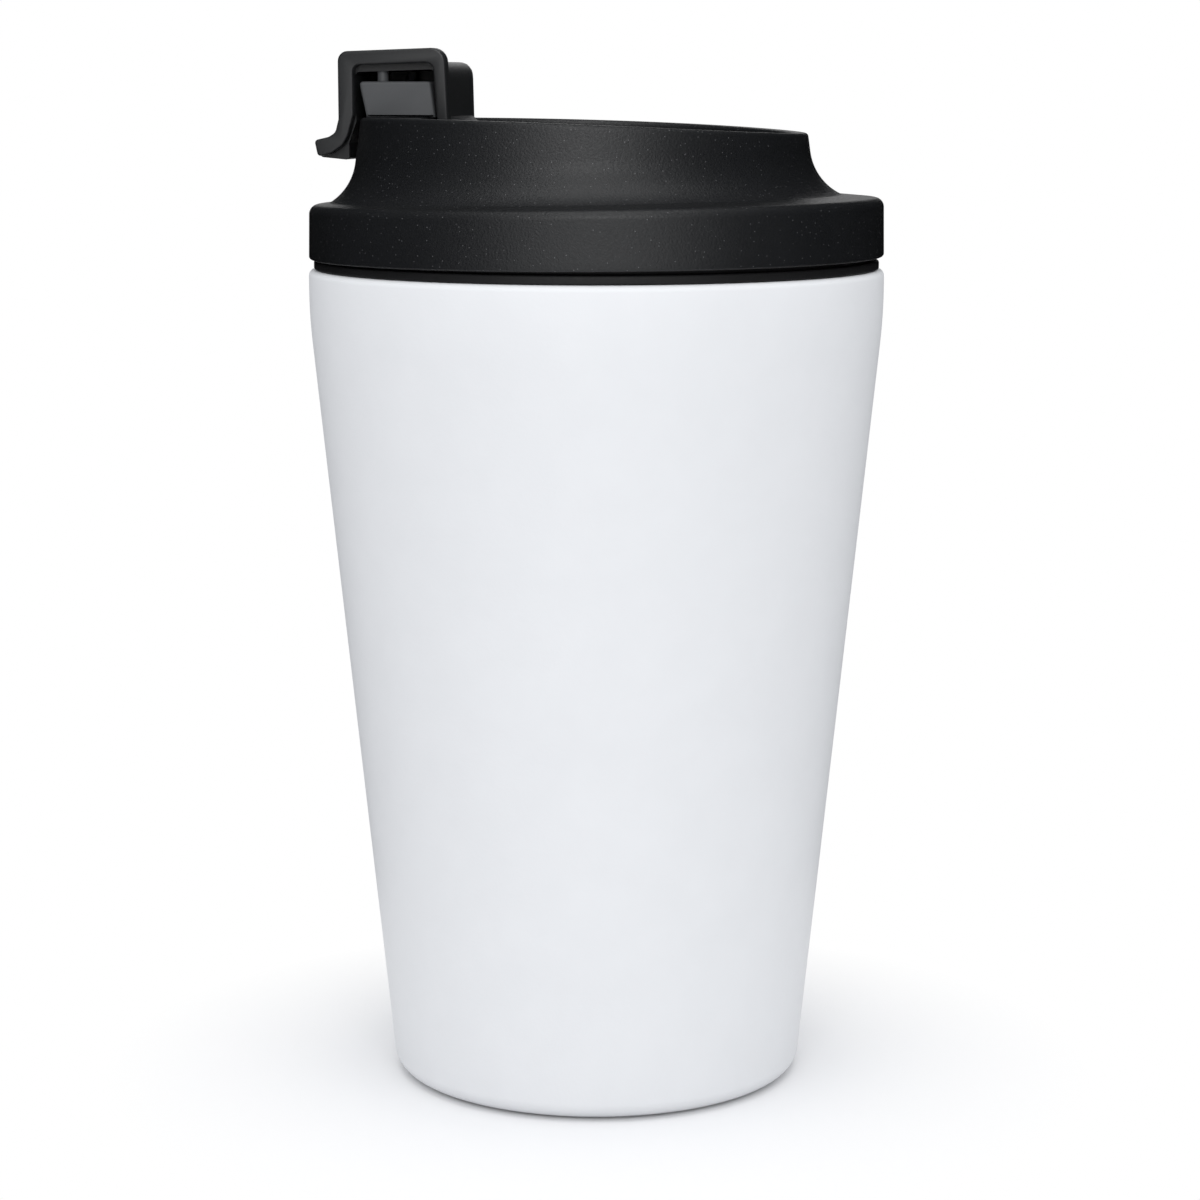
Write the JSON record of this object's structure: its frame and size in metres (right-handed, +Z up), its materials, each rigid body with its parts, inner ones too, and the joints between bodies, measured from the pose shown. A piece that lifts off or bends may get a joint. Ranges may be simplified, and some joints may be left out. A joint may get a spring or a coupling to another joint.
{
  "type": "travel tumbler",
  "caption": "Tapered double-wall insulated cup with a screw-on lid, a hinged flip cap and a soft stopper over the drinking opening.",
  "frame": {"origin": "centre of the foot pad's underside, on the surface the cup stands on", "axes": "+Z up along the cup's axis, the drinking opening and flip cap towards -X, the cap's open end towards -Y"},
  "size_m": [0.0842, 0.0842, 0.1525],
  "materials": {
    "white_powder_coat": "fine textured powder coat, satin",
    "brushed_liner": "brushed round the axis",
    "bare_steel": "plain drawn steel",
    "getter_pellet": "pressed powder",
    "seal_bead": "fused bead",
    "black_plastic": "fine spark texture, matte",
    "cap_plastic": "smooth matte",
    "black_silicone": "smooth matte",
    "grey_silicone": "smooth satin"
  },
  "bodies": {
    "cup": {"outer_shell": "white_powder_coat", "outer_base": "white_powder_coat", "inner_liner": "brushed_liner", "getter": "getter_pellet", "getter_clip": "bare_steel", "vacuum_plug": "seal_bead", "foot_pad": "black_silicone"},
    "gasket": {"rim_gasket": "black_silicone"},
    "lid": {"lid_inner": "black_plastic", "lid_seal": "black_silicone", "lid_shell": "black_plastic", "hinge_pin": "bare_steel"},
    "cap": {"flip_cap": "cap_plastic", "stopper": "grey_silicone"}
  },
  "joints": [
    {"name": "lid_lift", "type": "slide", "parent": "cup", "child": "gasket", "axis": [0, 0, 1], "range_m": [0, 0.06]},
    {"name": "lid_turn", "type": "hinge", "parent": "gasket", "child": "lid", "pos_m": [0, 0, 0.12], "axis": [0, 0, 1], "range_deg": [0, 450]},
    {"name": "cap_flip", "type": "hinge", "parent": "lid", "child": "cap", "pos_m": [-0.0206, 0, 0.1392], "axis": [0, 1, 0], "range_deg": [0, 115]}
  ]
}
